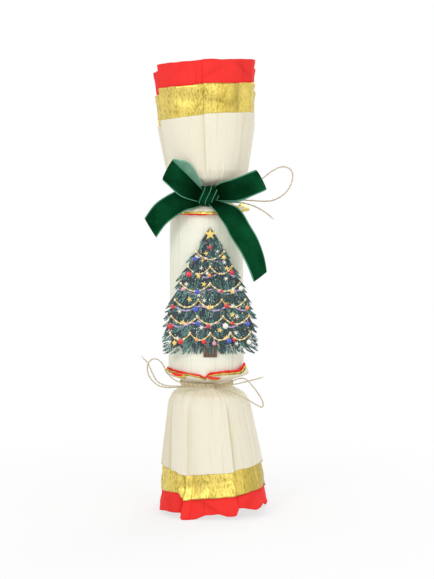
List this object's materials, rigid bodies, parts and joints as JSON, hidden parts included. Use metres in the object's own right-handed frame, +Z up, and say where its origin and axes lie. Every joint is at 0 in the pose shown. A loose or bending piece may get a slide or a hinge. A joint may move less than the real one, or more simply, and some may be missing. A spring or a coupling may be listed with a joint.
{
  "type": "christmas cracker",
  "caption": "Upright Christmas cracker: crepe-covered card barrel between layered frills tied with twine, with a velvet bow, a card tree and a pull-apart snap.",
  "frame": {"origin": "on the barrel's axis, in the plane of the lower frill's hem", "axes": "+Z up the barrel's axis to the upper frill, -Y to the front with the tree and the bow, +X to the right seen from the front"},
  "size_m": [0.1024, 0.0718, 0.3036],
  "materials": {
    "cream_crepe": "matt crepe paper",
    "gold_foil_crepe": "crinkled metallic foil crepe",
    "red_crepe": "matt crepe paper",
    "lining_tissue": "thin lining paper",
    "tube_card": "rolled grey-brown card",
    "tree_card": "embossed printed card",
    "glue": "dried glue",
    "twine": "two-ply natural twine",
    "velvet_ribbon": "cut velvet pile with satin back",
    "snap_card": "grey card strip",
    "snap_paper": "paper sleeve",
    "hat_tissue": "tissue paper",
    "motto_paper": "printed slip",
    "gift_body": "lacquered wood",
    "gift_spindle": "bare turned wood"
  },
  "bodies": {
    "lower_end": {"lower_frill_cream": "cream_crepe", "lower_frill_gold": "gold_foil_crepe", "lower_frill_red": "red_crepe", "lower_lining": "lining_tissue", "lower_twine_wrap": "twine", "lower_twine_knot": "twine", "lower_twine_loop_left": "twine", "lower_twine_end_left": "twine", "lower_twine_loop_right": "twine", "lower_twine_end_right": "twine", "snap_strip_lower": "snap_card"},
    "barrel": {"barrel_tube": "tube_card", "barrel_sleeve": "cream_crepe", "tree_scrap": "tree_card", "scrap_glue_pad": "glue", "paper_hat": "hat_tissue", "motto_slip": "motto_paper", "gift_top_body": "gift_body", "gift_top_spindle": "gift_spindle"},
    "upper_end": {"upper_frill_cream": "cream_crepe", "upper_frill_gold": "gold_foil_crepe", "upper_frill_red": "red_crepe", "upper_lining": "lining_tissue", "upper_twine_wrap": "twine", "upper_twine_knot": "twine", "upper_twine_loop": "twine", "upper_twine_end": "twine", "ribbon_band": "velvet_ribbon", "ribbon_knot": "velvet_ribbon", "ribbon_loop_left": "velvet_ribbon", "ribbon_loop_right": "velvet_ribbon", "ribbon_tail_left": "velvet_ribbon", "ribbon_tail_right": "velvet_ribbon", "snap_strip_upper": "snap_card", "snap_band": "snap_paper"}
  },
  "joints": [
    {"name": "lower_pull", "type": "slide", "parent": "lower_end", "child": "barrel", "axis": [0, 0, 1], "range_m": [0, 0.1]},
    {"name": "upper_pull", "type": "slide", "parent": "barrel", "child": "upper_end", "axis": [0, 0, 1], "range_m": [0, 0.1]}
  ]
}
